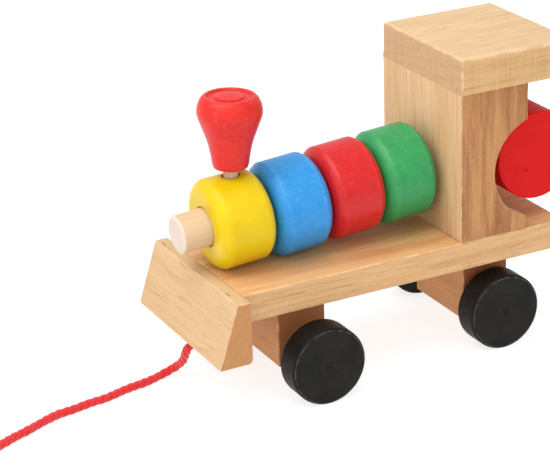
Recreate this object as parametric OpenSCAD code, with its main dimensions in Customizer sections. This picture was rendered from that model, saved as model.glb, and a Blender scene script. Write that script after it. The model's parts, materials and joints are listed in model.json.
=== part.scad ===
// Wooden pull-along locomotive: a board on wheels with a cab, a row of turned beads on
// a boiler dowel, a pull-out chimney, a drum behind the cab and a pull cord.
// +X is the direction of pull, +Y the left side, Z = 0 the floor under the wheels.

/* [Base board] */
// Length of the base board
base_l = 121.3; // [110:0.1:135]
// Width of the base board, cab and roof
base_w = 50; // [44:0.5:56]
// Thickness of the base board
base_t = 9.9; // [8:0.1:12]
// Height of the base board's top above the floor
deck_h = 40.6; // [40.2:0.1:43]
// Chamfer on the edges of the wooden blocks
ease = 0.6; // [0.2:0.1:1]

/* [Front bumper] */
// Length of the bumper along its top
bumper_top_l = 4.7; // [3:0.1:8]
// Length of the bumper along its foot
bumper_foot_l = 11.7; // [10:0.1:14]
// Height of the bumper
bumper_h = 21.2; // [19:0.1:24]
// Width of the bumper
bumper_w = 62; // [58:0.5:66]

/* [Cab] */
// Length of the cab block
cab_l = 25.5; // [24:0.1:28]
// Height of the cab block
cab_h = 51.1; // [49:0.1:55]
// Distance from the base's rear end to the cab block
cab_back = 15.2; // [14.5:0.1:16]
// Radius of the hollow in the cab's rear
hollow_r = 17.9; // [17.4:0.1:18.2]
// Length of the roof
roof_l = 43; // [36:0.5:46]
// Width of the roof
roof_w = 50.4; // [44:0.1:56]
// Thickness of the roof
roof_t = 12.2; // [9:0.1:14]

/* [Wheels and axles] */
// Wheel diameter
wheel_d = 26.4; // [24:0.2:26.6]
// Wheel thickness
wheel_w = 9.4; // [8:0.1:10]
// Distance between the outer faces of a pair of wheels
track_w = 62.5; // [61:0.5:66]
// Axle diameter
axle_d = 6; // [4:0.5:7]
// How far each axle has floated sideways from the middle
axle_float = 3.05; // [0:0.05:3.5]
// Width of the axle blocks
block_w = 30.8; // [28:0.2:32]
// Length of the axle blocks
block_l = 17.4; // [15:0.1:19]
// Height of the axle blocks
block_h = 23.5; // [21:0.1:25]
// Distance from the base's rear end to the rear axle
rear_axle_at = 25.1; // [22:0.1:28]
// Distance from the base's rear end to the front axle
front_axle_at = 95.8; // [92:0.1:99]

/* [Boiler] */
// Diameter of the boiler dowel
dowel_d = 12.8; // [12.2:0.1:12.9]
// Angle by which the dowel dips towards the front
dowel_dip = 4.3; // [3.9:0.1:4.4]
// Diameter of the three loose beads
bead_d = 31.6; // [29:0.1:31.8]
// Length of a loose bead
bead_l = 19.2; // [18:0.1:19.3]
// Rounding of the beads' edges
bead_round = 4.8; // [2:0.1:5]
// Diameter of the yellow bead at the front
nose_bead_d = 30.2; // [29:0.1:30.6]
// Length of the yellow bead
nose_bead_l = 19.8; // [18.5:0.1:20]

/* [Chimney] */
// Widest diameter of the chimney knob
chimney_d = 21.2; // [18:0.2:24]
// Height of the chimney knob
chimney_h = 24; // [22:0.5:28]
// Diameter of the chimney's peg
peg_d = 4.8; // [4:0.1:5]

/* [Rear drum] */
// Diameter of the drum behind the cab
drum_d = 30.6; // [29:0.1:31]
// Length of the drum
drum_l = 41.4; // [30:0.2:44]

/* [Cord] */
// Diameter of the pull cord
cord_d = 2.6; // [2:0.1:2.8]
// Diameter of the put-away coil at the middle of its turns
coil_d = 27; // [26:0.5:28]

/* [Hidden] */
$fn = 64;
eps = 0.01;

// The toy is centred lengthwise between the drum's back and the bumper's toe.
drum_behind = 7.2;
base_x = -(base_l + bumper_foot_l - drum_behind) / 2;
front_x = base_x + base_l;
base_z = deck_h - base_t;
cab_x = base_x + cab_back;
cab_front_x = cab_x + cab_l;
roof_z = deck_h + cab_h;
roof_x = cab_front_x - roof_l;
front_axle_x = base_x + front_axle_at;
rear_axle_x = base_x + rear_axle_at;
axle_z = wheel_d / 2;
block_z = base_z - block_h;

// Small roundings and chamfers
bumper_corner = 1.4;
cab_ease = 0.4;
roof_ease = 0.9;
toe_l = 1;
toe_h = 1.2;
brow_l = 0.4;
brow_h = 0.6;
dowel_ease = 0.5;
wheel_round_in = 0.8;
wheel_round_out = 0.9;
drum_round = 0.7;

// Running clearance, on the radius, between a piece that turns and what it turns on
run_gap = 0.1;
// Glued dowels that join the blocks
pin_d = 6;
bumper_pin_y = 15;
bumper_pin_in = 9;
bumper_pin_out = 3.2;
block_pin_y = 9.5;
block_pin_in = 7;
block_pin_down = 9;
cab_pin_y = 17;
cab_pin_in = 7;
cab_pin_l = 18;
roof_pin_in = 8;
roof_pin_l = 18;

// The hollow's axis, which is also the height of the boiler dowel's hole in the cab
hollow_behind = 5.4;
hollow_up = 21.5;
hollow_x = cab_x - hollow_behind;
hollow_z = deck_h + hollow_up;
wall_x = (hollow_x + hollow_r + cab_front_x) / 2;
cab_hole_d = 14.1;

// The boiler dowel's axis passes this point and dips towards the front. Its rear end is
// plugged into the drum.
nose_back = 9.3;
nose_up = 15.45;
nose_x = front_x - nose_back;
nose_z = deck_h + nose_up;
function dowel_z(x) = nose_z + (nose_x - x) * tan(dowel_dip);
drum_x = base_x - drum_behind + drum_d / 2;
drum_z = dowel_z(drum_x);
dowel_out = 10.7;
dowel_tip_x = front_x + dowel_out;
plug_stop = 2;
dowel_end_x = drum_x + plug_stop;
dowel_l = (dowel_tip_x - dowel_end_x) / cos(dowel_dip);
// The loose beads hang from the dowel by the slack of their bores.
bead_hang = 0.6;
bead_bore_d = dowel_d + 2 * bead_hang + 2 * run_gap;
nose_bore_d = dowel_d + 4 * run_gap;
// The loose beads' middles, from the cab's front face
green_at = 11.5;
red_at = 31;
blue_at = 50.8;
green_x = cab_front_x + green_at;
red_x = cab_front_x + red_at;
blue_x = cab_front_x + blue_at;

// The chimney stands upright in a hole through the yellow bead and into the dowel.
chimney_up = 33.35;
chimney_z = deck_h + chimney_up;
peg_hole_d = 6.2;
peg_seat_d = peg_d + 4 * run_gap;
peg_down = 4.2;
peg_foot_z = nose_z - peg_down;
peg_in_knob = 12;

// Screw eye under the bumper
eye_ahead = 2.8;
eye_x = front_x + eye_ahead;
eye_z = 15.8;
eye_ring_r = 2.6;
eye_wire_r = 0.7;
eye_shank_z = eye_z + eye_ring_r;
eye_grip = 8;
eye_top_z = deck_h - bumper_h + eye_grip;

// The pull cord's centre line, from its knot behind the eye to where it meets the coil
cord_r = cord_d / 2;
cord_points = [
    [58, 0, 15.8], [61.1, 0, 15.8], [64.5, -1.2, 15], [66, -3, 12.4],
    [65.9, -5, 9.2], [65.9, -7.4, 6], [67.1, -10, 3.4], [70.4, -11.1, 1.7],
    [74.7, -9.9, 1.3], [79, -8.5, 1.3], [83.1, -7.8, 1.3], [87.1, -7, 1.3],
    [91.2, -5.7, 1.3], [95.3, -4.5, 1.3], [99.5, -4.2, 1.3], [103.8, -3.4, 1.3],
    [108.3, -2.4, 1.3], [112.5, -2.1, 1.3], [117.3, -0.3, 1.3], [122, 1.9, 1.3],
    [126.5, 3.9, 1.3], [131.2, 5.7, 1.3], [136.4, 8.4, 1.3], [140.8, 10.2, 1.3],
    [145.2, 12, 1.3], [149.4, 13.9, 1.3]
];
cord_sides = 8;
knot_d = 6;
knot_l = 5.2;
knot_round = knot_d * 0.32;
knot_x = eye_x - eye_wire_r - knot_l / 2;
// The coil's turns lie two side by side and three high.
coil_x = 161;
coil_y = 3;
turns_gap = 0.2;
coil_w = 2 * cord_d + turns_gap;
coil_h = 3 * cord_d;
tie_t = 0.6;
tie_angle = 14;
tie_at = 200;
end_knot_l = 6;
end_knot_at = 8.3;
end_knot_x = coil_x + end_knot_at;

// ---------- shared shapes ----------

// A rectangle with chamfered corners
module eased_rect(w, h, e) {
    polygon([[e, 0], [w - e, 0], [w, e], [w, h - e], [w - e, h], [e, h], [0, h - e], [0, e]]);
}

// A block from the origin along +X and +Z, centred on Y, with chamfered edges
module eased_block(l, w, h, e = ease) {
    translate([0, -w / 2, 0]) intersection() {
        linear_extrude(h) eased_rect(l, w, e);
        translate([0, w, 0]) rotate([90, 0, 0]) linear_extrude(w) eased_rect(l, h, e);
        rotate([90, 0, 90]) linear_extrude(l) eased_rect(w, h, e);
    }
}

// Half outline of a turned disc from z = 0 to w, rounded by ra at its foot and rb at its top
module disc_outline(r, w, ra, rb) {
    square([r - ra, w / 2]);
    translate([0, w / 2]) square([r - rb, w / 2]);
    translate([0, ra]) square([r, w - ra - rb]);
    translate([r - ra, ra]) intersection() {
        circle(ra);
        translate([0, -ra]) square(ra);
    }
    translate([r - rb, w - rb]) intersection() {
        circle(rb);
        square(rb);
    }
}

module turned_disc(r, w, ra, rb) {
    rotate_extrude($fn = 96) disc_outline(r, w, ra, rb);
}

// A cylinder along Y, centred on the given point
module rod_y(x, y, z, d, l) {
    translate([x, y + l / 2, z]) rotate([90, 0, 0]) cylinder(d = d, h = l);
}

// Children drawn along +Z are laid along the boiler dowel, pointing to the front, at x
module on_dowel(x, drop = 0) {
    translate([x, 0, dowel_z(x) - drop]) rotate([0, 90 + dowel_dip, 0]) children();
}

// Upright round pieces at +y and -y
module upright_pair(x, y, z, d, l) {
    for (s = [-1, 1]) translate([x, s * y, z]) cylinder(d = d, h = l);
}

// ---------- base ----------

module bumper_pins() {
    for (s = [-1, 1])
        translate([front_x - bumper_pin_in, s * bumper_pin_y, base_z + base_t / 2])
            rotate([0, 90, 0]) cylinder(d = pin_d, h = bumper_pin_in + bumper_pin_out);
}

module block_pins(x) {
    upright_pair(x, block_pin_y, base_z - block_pin_down, pin_d, block_pin_down + block_pin_in);
}

module cab_pins() {
    upright_pair(wall_x, cab_pin_y, deck_h - cab_pin_in, pin_d, cab_pin_l);
}

module roof_pins() {
    upright_pair(wall_x, cab_pin_y, roof_z + roof_pin_in - roof_pin_l, pin_d, roof_pin_l);
}

module base_board() color("burlywood") difference() {
    translate([base_x, 0, base_z]) eased_block(base_l, base_w, base_t);
    bumper_pins();
    block_pins(front_axle_x);
    block_pins(rear_axle_x);
    cab_pins();
}

// A wedge with an upright back and a sloping front
module front_bumper() color("wheat") difference() {
    intersection() {
        translate([front_x, bumper_w / 2, deck_h - bumper_h]) rotate([90, 0, 0])
            linear_extrude(bumper_w) polygon([
                [0, 0], [bumper_foot_l - toe_l, 0], [bumper_foot_l, toe_h],
                [bumper_top_l + brow_l, bumper_h - brow_h], [bumper_top_l - brow_l, bumper_h],
                [0, bumper_h]
            ]);
        translate([front_x, -bumper_w / 2, deck_h - bumper_h]) rotate([90, 0, 90])
            linear_extrude(bumper_foot_l) eased_rect(bumper_w, bumper_h, bumper_corner);
    }
    bumper_pins();
    translate([eye_x, 0, eye_shank_z]) cylinder(r = eye_wire_r, h = eye_top_z - eye_shank_z, $fn = 32);
}

module bumper_dowels() color("tan") bumper_pins();

// ---------- axles ----------

module axle_block(x) difference() {
    translate([x - block_l / 2, 0, block_z]) eased_block(block_l, block_w, block_h);
    rod_y(x, 0, axle_z, axle_d + 2 * run_gap, block_w + 2);
    block_pins(x);
}

module front_axle_block() color("burlywood") axle_block(front_axle_x);
module rear_axle_block() color("burlywood") axle_block(rear_axle_x);
module front_block_dowels() color("tan") block_pins(front_axle_x);
module rear_block_dowels() color("tan") block_pins(rear_axle_x);

// The axle stops short of the wheels' outer faces.
axle_cover = 3;
dimple_r = 1.1;
dimple_foot_r = 0.2;
dimple_deep = 0.5;

module axle(x, shift) rod_y(x, shift, axle_z, axle_d, track_w - 2 * axle_cover);

// side is +1 for the left wheel and -1 for the right one
module wheel(x, shift, side) {
    translate([x, shift + side * (track_w / 2 - wheel_w), axle_z]) rotate([-90 * side, 0, 0])
        difference() {
            turned_disc(wheel_d / 2, wheel_w, wheel_round_in, wheel_round_out);
            translate([0, 0, -eps]) cylinder(d = axle_d, h = wheel_w - axle_cover + eps);
            translate([0, 0, wheel_w - dimple_deep])
                cylinder(r1 = dimple_foot_r, r2 = dimple_r, h = dimple_deep + eps, $fn = 24);
        }
}

module front_axle() color("tan") axle(front_axle_x, axle_float);
module front_left_wheel() color("#2d2b28") wheel(front_axle_x, axle_float, 1);
module front_right_wheel() color("#2d2b28") wheel(front_axle_x, axle_float, -1);
module rear_axle() color("tan") axle(rear_axle_x, -axle_float);
module rear_left_wheel() color("#2d2b28") wheel(rear_axle_x, -axle_float, 1);
module rear_right_wheel() color("#2d2b28") wheel(rear_axle_x, -axle_float, -1);

// ---------- cab ----------

module cab_block() color("burlywood") difference() {
    translate([cab_x, 0, deck_h]) eased_block(cab_l, base_w, cab_h, cab_ease);
    rod_y(hollow_x, 0, hollow_z, 2 * hollow_r, base_w + 2);
    translate([cab_x, 0, dowel_z(wall_x)]) rotate([0, 90, 0])
        cylinder(d = cab_hole_d, h = cab_l + 1);
    cab_pins();
    roof_pins();
}

module cab_dowels() color("tan") cab_pins();

module roof() color("wheat") difference() {
    translate([roof_x, 0, roof_z]) eased_block(roof_l, roof_w, roof_t, roof_ease);
    roof_pins();
}

module roof_dowels() color("tan") roof_pins();

// ---------- boiler ----------

module peg_seat() {
    translate([nose_x, 0, peg_foot_z]) cylinder(d = peg_seat_d, h = dowel_d);
}

module boiler_dowel() color("navajowhite") difference() {
    on_dowel(dowel_end_x) union() {
        cylinder(d = dowel_d, h = dowel_l - dowel_ease);
        translate([0, 0, dowel_l - dowel_ease])
            cylinder(r1 = dowel_d / 2, r2 = dowel_d / 2 - dowel_ease, h = dowel_ease);
    }
    peg_seat();
}

module bead(x, d, l, bore, drop = 0) {
    on_dowel(x, drop) translate([0, 0, -l / 2]) difference() {
        turned_disc(d / 2, l, bead_round, bead_round);
        translate([0, 0, -1]) cylinder(d = bore, h = l + 2);
    }
}

module yellow_bead() color("#f5d71e") difference() {
    bead(nose_x, nose_bead_d, nose_bead_l, nose_bore_d);
    translate([nose_x, 0, nose_z]) cylinder(d = peg_hole_d, h = nose_bead_d);
}

module blue_bead() color("#3c9be1") bead(blue_x, bead_d, bead_l, bead_bore_d, bead_hang);
module red_bead() color("#d72d2d") bead(red_x, bead_d, bead_l, bead_bore_d, bead_hang);
module green_bead() color("#3ca55f") bead(green_x, bead_d, bead_l, bead_bore_d, bead_hang);

// A point on the smooth curve through four points, between the middle two
function curve(p0, p1, p2, p3, t) = p1
    + t * (p2 - p0) / 2
    + t * t * (2 * p0 - 5 * p1 + 4 * p2 - p3) / 2
    + t * t * t * (3 * p1 - p0 - 3 * p2 + p3) / 2;

// The chimney's flared side as [share of the widest radius, share of the height]
flare = [
    [0.5, -0.06], [0.545, 0.03], [0.6, 0.2], [0.7, 0.38], [0.88, 0.6],
    [0.99, 0.75], [0.97, 0.87], [0.86, 0.965], [0.78, 1], [0.6, 1.02]
];
flare_steps = 4;
foot_r = chimney_d * 0.25;
// The ring-shaped recess in its top
rim_r = chimney_d * 0.38;
recess_r = chimney_d * 0.35;
recess_in_r = chimney_d * 0.25;
recess_deep = 0.6;
disc_r = chimney_d * 0.22;
disc_below = 0.2;
flare_line = [
    for (i = [1 : len(flare) - 3], j = [0 : flare_steps - 1])
        curve(flare[i - 1], flare[i], flare[i + 1], flare[i + 2], j / flare_steps)
];

module chimney_knob() color("#e6413c") translate([nose_x, 0, chimney_z]) difference() {
    rotate_extrude($fn = 96) polygon(concat(
        [[0, 0], [foot_r, 0]],
        [for (p = flare_line) [p.x * chimney_d / 2, p.y * chimney_h]],
        [[rim_r, chimney_h], [recess_r, chimney_h - recess_deep],
         [recess_in_r, chimney_h - recess_deep], [disc_r, chimney_h - disc_below],
         [0, chimney_h]]
    ));
    translate([0, 0, -eps]) cylinder(d = peg_d, h = peg_in_knob + eps);
}

module chimney_peg() color("navajowhite")
    translate([nose_x, 0, peg_foot_z]) cylinder(d = peg_d, h = chimney_z + peg_in_knob - peg_foot_z);

// ---------- rear drum ----------

module rear_drum() color("#d72828") difference() {
    translate([drum_x, -drum_l / 2, drum_z]) rotate([-90, 0, 0])
        turned_disc(drum_d / 2, drum_l, drum_round, drum_round);
    on_dowel(dowel_end_x) cylinder(d = dowel_d, h = drum_d);
}

// ---------- cord ----------

module screw_eye() color("silver") {
    translate([eye_x, 0, eye_z]) rotate([0, 90, 0])
        rotate_extrude($fn = 48) translate([eye_ring_r, 0]) circle(r = eye_wire_r, $fn = 24);
    translate([eye_x, 0, eye_shank_z]) cylinder(r = eye_wire_r, h = eye_top_z - eye_shank_z, $fn = 32);
}

// An overhand knot as one rounded lump, with its axis along X
module knot_lump(x, y, z, l) {
    translate([x - l / 2, y, z]) rotate([0, 90, 0])
        turned_disc(knot_d / 2, l, knot_round, knot_round);
}

module cord_knot() color("firebrick") knot_lump(knot_x, 0, eye_z, knot_l);

// A tube swept along a line of points
function unit(v) = v / norm(v);
function heading(p, i) = unit(p[min(i + 1, len(p) - 1)] - p[max(i - 1, 0)]);
function ring(p, i, r) =
    let (h = heading(p, i), across = unit(cross([0, 0, 1], h)), over = cross(h, across))
    [
        for (k = [0 : cord_sides - 1])
            let (turn = 360 * (k + 0.5) / cord_sides)
            p[i] + r * (cos(turn) * across + sin(turn) * over)
    ];

module tube(p, r) {
    n = cord_sides;
    last = len(p) - 1;
    polyhedron(
        points = [for (i = [0 : last]) each ring(p, i, r)],
        faces = concat(
            [[for (k = [0 : n - 1]) k]],
            [for (i = [0 : last - 1], k = [0 : n - 1])
                [i * n + k, (i + 1) * n + k, (i + 1) * n + (k + 1) % n, i * n + (k + 1) % n]],
            [[for (k = [n - 1 : -1 : 0]) last * n + k]]
        )
    );
}

module pull_cord() color("crimson") tube(cord_points, cord_r);

module coil_outline(grow) {
    translate([coil_d / 2 - coil_w / 2 - grow, 0]) square([coil_w + 2 * grow, coil_h + grow]);
}

module cord_coil() color("crimson") translate([coil_x, coil_y, 0])
    rotate_extrude($fn = 96) coil_outline(0);

// A flat band round the bundle of turns, pressed into their underside
module coil_tie() color("white") translate([coil_x, coil_y, 0]) rotate([0, 0, tie_at])
    rotate_extrude(angle = tie_angle, $fn = 96) difference() {
        coil_outline(tie_t);
        translate([coil_d / 2 - coil_w / 2, tie_t]) square([coil_w, coil_h - tie_t]);
    }

module cord_end_knot() color("firebrick")
    knot_lump(end_knot_x, coil_y, knot_d / 2, end_knot_l);

base_board();
front_bumper();
bumper_dowels();
front_axle_block();
rear_axle_block();
front_block_dowels();
rear_block_dowels();
front_axle();
front_left_wheel();
front_right_wheel();
rear_axle();
rear_left_wheel();
rear_right_wheel();
cab_block();
cab_dowels();
roof();
roof_dowels();
boiler_dowel();
yellow_bead();
blue_bead();
red_bead();
green_bead();
chimney_knob();
chimney_peg();
rear_drum();
screw_eye();
cord_knot();
pull_cord();
cord_coil();
coil_tie();
cord_end_knot();
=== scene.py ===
import json
import math
from math import cos, pi, radians, sin

import bmesh
import bpy
import numpy as np
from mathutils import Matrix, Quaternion, Vector, noise


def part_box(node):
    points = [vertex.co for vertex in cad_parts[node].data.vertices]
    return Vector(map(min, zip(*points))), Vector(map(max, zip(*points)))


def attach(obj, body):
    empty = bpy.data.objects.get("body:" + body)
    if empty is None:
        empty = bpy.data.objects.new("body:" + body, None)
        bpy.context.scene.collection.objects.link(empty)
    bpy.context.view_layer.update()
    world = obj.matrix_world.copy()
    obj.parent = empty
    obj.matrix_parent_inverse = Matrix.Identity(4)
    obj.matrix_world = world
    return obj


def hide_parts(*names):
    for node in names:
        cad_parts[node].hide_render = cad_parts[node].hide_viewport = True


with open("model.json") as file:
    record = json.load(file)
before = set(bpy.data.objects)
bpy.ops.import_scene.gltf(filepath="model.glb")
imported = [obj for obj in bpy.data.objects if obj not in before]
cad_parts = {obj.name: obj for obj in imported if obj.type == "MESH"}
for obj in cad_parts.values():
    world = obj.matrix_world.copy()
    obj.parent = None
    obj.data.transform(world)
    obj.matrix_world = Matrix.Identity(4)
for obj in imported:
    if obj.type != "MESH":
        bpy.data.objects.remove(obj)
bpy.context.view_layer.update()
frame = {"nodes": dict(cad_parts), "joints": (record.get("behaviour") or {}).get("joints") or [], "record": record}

MM = 0.001
AHEAD, LEFT, UP = Vector((1, 0, 0)), Vector((0, 1, 0)), Vector((0, 0, 1))
BODY_OF = {
    node: body
    for body, nodes in frame["record"]["behaviour"]["bodies"].items()
    for node in nodes
}
JOINTS = {joint["name"]: joint for joint in frame["joints"]}
# The direction of the boiler dowel, which dips a little towards the front
DIP = Vector(JOINTS["blue_bead_spin"]["axis"]).normalized()


def middle(node):
    """The middle of a CAD node's box."""
    low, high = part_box(node)
    return (low + high) / 2


# --- camera ---

CAMERA_AIM = Vector((0.03368, 0, 0.05017))
CAMERA_DISTANCE = 0.69109
CAMERA_TURN = 63.2536  # degrees from +X towards +Y
CAMERA_RISE = 22.3154
CAMERA_ROLL = -1.8794
CAMERA_LENS = 138.53


def hang(name, data, place, turn):
    """Puts a camera or a light into the scene."""
    made = bpy.data.objects.new(name, data)
    made.location = place
    made.rotation_mode = "QUATERNION"
    made.rotation_quaternion = turn
    bpy.context.scene.collection.objects.link(made)
    return made


def make_camera():
    turn, rise = radians(CAMERA_TURN), radians(CAMERA_RISE)
    back = Vector((cos(rise) * cos(turn), cos(rise) * sin(turn), sin(rise)))
    data = bpy.data.cameras.new("camera")
    data.lens = CAMERA_LENS
    data.sensor_width = 36
    data.clip_start, data.clip_end = 0.01, 20
    turned_to = back.to_track_quat("Z", "Y") @ Quaternion(UP, radians(CAMERA_ROLL))
    place = CAMERA_AIM + CAMERA_DISTANCE * back
    bpy.context.scene.camera = hang("camera", data, place, turned_to)


make_camera()


# --- mesh helpers ---


SHARP_OVER = 35  # degrees between two faces, from which their edge is shaded sharp


def piece_from(name, points, faces, marks=None, sharp_over=SHARP_OVER):
    """A mesh object; marks holds named numbers for each point, which the materials read."""
    mesh = bpy.data.meshes.new(name)
    mesh.from_pydata([tuple(p) for p in points], [], faces)
    for key, values in (marks or {}).items():
        layer = mesh.attributes.new(key, "FLOAT", "POINT")
        layer.data.foreach_set("value", np.array(values, np.float32))
    work = bmesh.new()
    work.from_mesh(mesh)
    bmesh.ops.recalc_face_normals(work, faces=work.faces)
    work.to_mesh(mesh)
    work.free()
    mesh.shade_smooth()
    mesh.set_sharp_from_angle(angle=radians(sharp_over))
    piece = bpy.data.objects.new(name, mesh)
    bpy.context.scene.collection.objects.link(piece)
    return piece


def cut(piece, *cutters):
    """Takes the cutters out of a piece and removes them."""
    for cutter in cutters:
        modifier = piece.modifiers.new("cut", "BOOLEAN")
        modifier.operation, modifier.solver, modifier.object = "DIFFERENCE", "EXACT", cutter
        bpy.context.view_layer.update()
        shown = piece.evaluated_get(bpy.context.evaluated_depsgraph_get())
        piece.data = bpy.data.meshes.new_from_object(shown)
        piece.modifiers.clear()
        bpy.data.objects.remove(cutter)
        piece.data.set_sharp_from_angle(angle=radians(SHARP_OVER))


def finish_piece(piece, material, *nodes):
    """Gives a piece its material and the body of the CAD nodes that it replaces, and hides those nodes."""
    piece.data.materials.clear()
    piece.data.materials.append(material)
    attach(piece, BODY_OF[nodes[0]])
    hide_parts(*nodes)


def finish_solid(piece, material, node, cutters=()):
    """The same for a hard piece, which is cut first, and whose broad faces stay flat in the
    shading beside their rounded edges."""
    cut(piece, *cutters)
    level = piece.modifiers.new("level", "WEIGHTED_NORMAL")
    level.keep_sharp = True
    level.weight = 80
    finish_piece(piece, material, node)


def turned_size(node, point, axis):
    """(outer radius, smallest radius, first and last place along the axis) of a round CAD node."""
    away = np.array([v.co for v in frame["nodes"][node].data.vertices], float) - np.array(point)
    along = away @ np.array(axis)
    out = np.linalg.norm(away - np.outer(along, axis), axis=1)
    return out.max(), out.min(), along.min(), along.max()


def edge_arc(radius, place, size, start, end, mark=0, steps=6):
    """Outline points of a rounded edge about (radius, place), from one angle to another."""
    angles = np.radians(np.linspace(start, end, steps + 1))
    return [
        (radius + size * cos(a), place + size * sin(a), 0 if i in (0, steps) else mark)
        for i, a in enumerate(angles)
    ]


def turned(name, outline, point, axis, closed=False, sides=96, sharp_over=SHARP_OVER):
    """A turned piece. outline is (radius, place along the axis, edge mark), in metres; the mark
    lightens an edge, for wear and, on some pieces, as a painted highlight.
    """
    spin = Vector(axis).to_track_quat("Z", "Y").to_matrix()
    points, marks, rings = [], [], []
    for radius, place, mark in outline:
        count = sides if radius > 1e-7 else 1
        rings.append(range(len(points), len(points) + count))
        for k in range(count):
            turn = 2 * pi * k / sides
            local = Vector((radius * cos(turn), radius * sin(turn), place))
            points.append(Vector(point) + spin @ local)
            marks.append(mark)
    faces = []
    for a, b in zip(rings, rings[1:] + rings[:1] if closed else rings[1:]):
        for k in range(sides):
            quad = [a[k % len(a)], a[(k + 1) % len(a)], b[(k + 1) % len(b)], b[k % len(b)]]
            faces.append(list(dict.fromkeys(quad)))
    for end in [] if closed else [rings[0], rings[-1]]:
        if len(end) > 1:
            faces.append(list(end))
    return piece_from(name, points, faces, {"edge": marks}, sharp_over)


def rod(name, point, axis, radius, start, end, chamfer=0.4 * MM, sides=64):
    """A plain round bar with eased ends."""
    outline = [(0, start, 0), (radius - chamfer, start, 0), (radius, start + chamfer, 0)]
    outline += [(radius, end - chamfer, 0), (radius - chamfer, end, 0), (0, end, 0)]
    return turned(name, outline, point, axis, sides=sides)


def ring_faces(rings, sides):
    """The faces that join rings of points one to the next, and close the first and last."""
    faces = [list(range(sides)), [(rings - 1) * sides + k for k in range(sides)]]
    for i in range(rings - 1):
        for k in range(sides):
            j = (k + 1) % sides
            faces.append([i * sides + k, i * sides + j, (i + 1) * sides + j, (i + 1) * sides + k])
    return faces


EDGE_STEPS = 4  # faces across a rounded edge of a block
SANDING_WAVE = 12 * MM  # how far apart its edges change in rounding
SANDING_SWING = 0.2  # and by what share
CRISP_SHARE = 0.15  # of the usual rounding, on a crisp edge


def rounded(corners):
    """A closed outline through corners (u, v, radius), as (point, wear mark) pairs."""
    outline = []
    for i, (u, v, radius) in enumerate(corners):
        here = Vector((u, v))
        before = (Vector(corners[i - 1][:2]) - here).normalized()
        after = (Vector(corners[(i + 1) % len(corners)][:2]) - here).normalized()
        if radius == 0:
            outline.append((here, 0))
            continue
        half = before.angle(after) / 2
        centre = here + (before + after).normalized() * radius / sin(half)
        first = here + before * radius / math.tan(half) - centre
        last = here + after * radius / math.tan(half) - centre
        for k in range(EDGE_STEPS + 1):
            inside = 0 < k < EDGE_STEPS
            share = k / EDGE_STEPS
            outward = first.slerp(last, share) if inside else (first, last)[k // EDGE_STEPS]
            outline.append((centre + outward.normalized() * radius, int(inside)))
    return outline


def spaced_outline(outline, step):
    """The outline again, with points put in along its long sides."""
    made = []
    for (a, mark), (b, _) in zip(outline, outline[1:] + outline[:1]):
        parts = max(1, round((b - a).length / step))
        made.append((a, mark))
        made += [(a.lerp(b, k / parts), 0) for k in range(1, parts)]
    return made


def sawn(name, outline, place, start, end, ease, crisp=None, step=3 * MM):
    """A block with that outline across it, from start to end along it. Its edges are sanded
    unevenly, by about ease, and hardly at all where v reaches crisp. place(u, v, w) gives a
    point's place in the toy's frame."""
    outline = spaced_outline(outline, step)
    flat = [p for p, _ in outline]
    area = sum(a.cross(b) for a, b in zip(flat, flat[1:] + flat[:1]))
    side = 1 if area > 0 else -1
    outward = []
    for i, p in enumerate(flat):
        along = (flat[(i + 1) % len(flat)] - p).normalized() + (p - flat[i - 1]).normalized()
        outward.append(Vector((along.y, -along.x)).normalized() * side)
    middles = max(1, round((end - start - 2 * ease) / step))
    levels = []
    for k in range(EDGE_STEPS + 1):
        turn = pi / 2 * k / EDGE_STEPS
        levels.append((start, 1 - cos(turn), 1 - sin(turn), 0 < k < EDGE_STEPS))
    closing = [(end, -shift, inset, worn) for _, shift, inset, worn in levels[::-1]]
    for k in range(1, middles):
        levels.append((start + ease + (end - start - 2 * ease) * k / middles, 0, 0, False))
    levels += closing
    points, marks = [], []
    for level, shift, inset, worn in levels:
        for (p, mark), out in zip(outline, outward):
            uneven = 1 + SANDING_SWING * noise.noise(Vector((*p, level)) / SANDING_WAVE)
            if crisp is not None and abs(p.y - crisp) < ease / 2:
                uneven = CRISP_SHARE
            spot = p - out * ease * uneven * inset
            points.append(place(spot.x, spot.y, level + ease * uneven * shift))
            marks.append(1 if worn else mark * (inset < 1))
    return piece_from(name, points, ring_faces(len(levels), len(outline)), {"edge": marks})


# Places for sawn: a block that runs along X, and one that runs along Y


def along_x(u, v, w):
    return Vector((w, u, v))


def along_y(u, v, w):
    return Vector((u, w, v))


def distances_along(line):
    gaps = [0] + [(b - a).length for a, b in zip(line, line[1:])]
    return np.cumsum(gaps).tolist()


def tube_points(line, ring):
    """The points of a tube that doesn't twist: ring(distance) gives (angle, radius) pairs."""
    points = []
    across = (line[1] - line[0]).normalized().orthogonal().normalized()
    for i, far in enumerate(distances_along(line)):
        heading = (line[min(i + 1, len(line) - 1)] - line[max(i - 1, 0)]).normalized()
        across = (across - heading * across.dot(heading)).normalized()
        over = heading.cross(across)
        for turn, radius in ring(far):
            points.append(line[i] + radius * (cos(turn) * across + sin(turn) * over))
    return points


def tube(name, line, ring, sharp_over):
    """A tube along line, with the (angle, radius) pairs of ring all the way."""
    points = tube_points(line, lambda _: ring)
    return piece_from(name, points, ring_faces(len(line), len(ring)), sharp_over=sharp_over)


def through(points, step):
    """A smooth (Catmull-Rom) line through points, with its points about step apart."""
    ends = [2 * points[0] - points[1], *points, 2 * points[-1] - points[-2]]
    line = []
    for a, b, c, d in zip(ends, ends[1:], ends[2:], ends[3:]):
        parts = max(2, math.ceil((c - b).length / step))
        for k in range(parts):
            t = k / parts
            line.append(
                b + t * (c - a) / 2
                + t * t * (2 * a - 5 * b + 4 * c - d) / 2
                + t * t * t * (3 * b - a - 3 * c + d) / 2
            )
    return line + [points[-1]]


# --- cord ---

CORD_R = 1.3 * MM
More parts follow.
